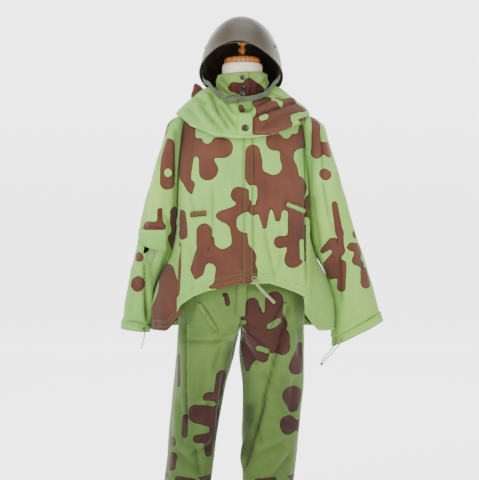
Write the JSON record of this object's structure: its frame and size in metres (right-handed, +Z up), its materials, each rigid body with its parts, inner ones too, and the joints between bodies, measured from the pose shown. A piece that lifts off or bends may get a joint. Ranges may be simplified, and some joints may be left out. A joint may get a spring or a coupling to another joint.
{
  "type": "camouflage oversuit on display form",
  "caption": "Two-piece hooded camouflage oversuit of printed cotton, worn by a headless display form on a flat base, with a strapped steel helmet.",
  "frame": {"origin": "on the underside of the base plate, below the neck", "axes": "+Z up through the neck, the front faces -Y, +X is to the right as seen from the front"},
  "size_m": [0.824, 0.4065, 1.6589],
  "materials": {
    "base_paint": "pale satin paint",
    "dark_button": "dark brown moulded button",
    "dark_metal": "darkened steel",
    "form_cream": "smooth cream display form",
    "green_camouflage_cotton": "matte printed plain-weave cotton, light green with brown patches",
    "green_tape": "matte green cotton tape and cord",
    "grey_webbing": "coarse grey-green webbing",
    "liner_leather": "dark worn leather",
    "olive_steel": "satin olive-brown paint, worn",
    "turned_wood": "varnished orange-brown turned wood"
  },
  "bodies": {
    "stand": {"base_plate": "base_paint", "left_leg_form": "form_cream", "right_leg_form": "form_cream", "torso_form": "form_cream", "neck_form": "form_cream", "neck_cap": "turned_wood", "cap_finial": "turned_wood", "trouser_left_leg": "green_camouflage_cotton", "trouser_right_leg": "green_camouflage_cotton", "trouser_seat": "green_camouflage_cotton", "waistband": "green_camouflage_cotton", "fly_placket": "green_camouflage_cotton", "left_hip_pocket_welt": "green_camouflage_cotton", "right_hip_pocket_welt": "green_camouflage_cotton", "smock_front_left": "green_camouflage_cotton", "smock_front_right": "green_camouflage_cotton", "smock_back": "green_camouflage_cotton", "front_placket": "green_camouflage_cotton", "left_pocket_welt": "green_camouflage_cotton", "right_pocket_welt": "green_camouflage_cotton", "hem_eyelet": "green_tape", "waist_cord": "green_tape", "hood_cowl": "green_camouflage_cotton", "hood_bag": "green_camouflage_cotton", "hood_peak": "green_camouflage_cotton", "collar_veil": "green_camouflage_cotton", "collar_button_top": "dark_button", "collar_snap": "dark_metal", "collar_button_low": "dark_button", "throat_strap": "green_camouflage_cotton"},
    "throat_flap": {"throat_tab": "green_camouflage_cotton", "throat_button": "dark_button"},
    "sleeve_left": {"left_sleeve": "green_camouflage_cotton", "left_cuff_band": "green_camouflage_cotton", "left_vent_strap": "green_tape", "left_cuff_eyelet": "green_tape", "left_cuff_cord": "green_tape"},
    "vent_flap": {"left_vent_flap": "green_camouflage_cotton"},
    "sleeve_right": {"right_sleeve": "green_camouflage_cotton", "right_cuff_band": "green_camouflage_cotton", "right_cuff_eyelet": "green_tape", "right_cuff_eyelet_2": "green_tape", "right_cuff_cord": "green_tape", "right_cuff_cord_2": "green_tape", "right_cuff_knot": "green_tape"},
    "helmet": {"helmet_shell": "olive_steel", "liner_band": "liner_leather", "liner_cradle": "liner_leather", "helmet_rivet_1": "olive_steel", "helmet_rivet_2": "olive_steel", "helmet_rivet_3": "olive_steel", "helmet_rivet_4": "olive_steel", "helmet_rivet_5": "olive_steel", "helmet_rivet_6": "olive_steel", "left_strap_ring": "dark_metal", "right_strap_ring": "dark_metal"},
    "chin_strap": {"left_chin_strap": "grey_webbing", "right_chin_strap": "grey_webbing", "strap_tail": "grey_webbing", "strap_buckle": "dark_metal"}
  },
  "joints": [
    {"name": "helmet_lift", "type": "slide", "parent": "stand", "child": "helmet", "axis": [0, 0, 1], "range_m": [0, 0.25]},
    {"name": "strap_swing", "type": "hinge", "parent": "helmet", "child": "chin_strap", "pos_m": [-0.12674, -0.00477, 1.48662], "axis": [-0.9945, 0.105, 0], "range_deg": [0, 45]},
    {"name": "left_sleeve_swing", "type": "hinge", "parent": "stand", "child": "sleeve_left", "pos_m": [-0.2033, 0, 1.35], "axis": [0, 1, 0], "range_deg": [0, 35]},
    {"name": "right_sleeve_swing", "type": "hinge", "parent": "stand", "child": "sleeve_right", "pos_m": [0.2033, 0, 1.35], "axis": [0, -1, 0], "range_deg": [0, 35]},
    {"name": "vent_flap_lift", "type": "hinge", "parent": "sleeve_left", "child": "vent_flap", "pos_m": [-0.27, -0.0802, 1.004], "axis": [-1, 0, 0], "range_deg": [0, 100]},
    {"name": "throat_flap_lift", "type": "hinge", "parent": "stand", "child": "throat_flap", "pos_m": [0.006, -0.1362, 1.3462], "axis": [-1, 0, 0], "range_deg": [0, 110]}
  ]
}
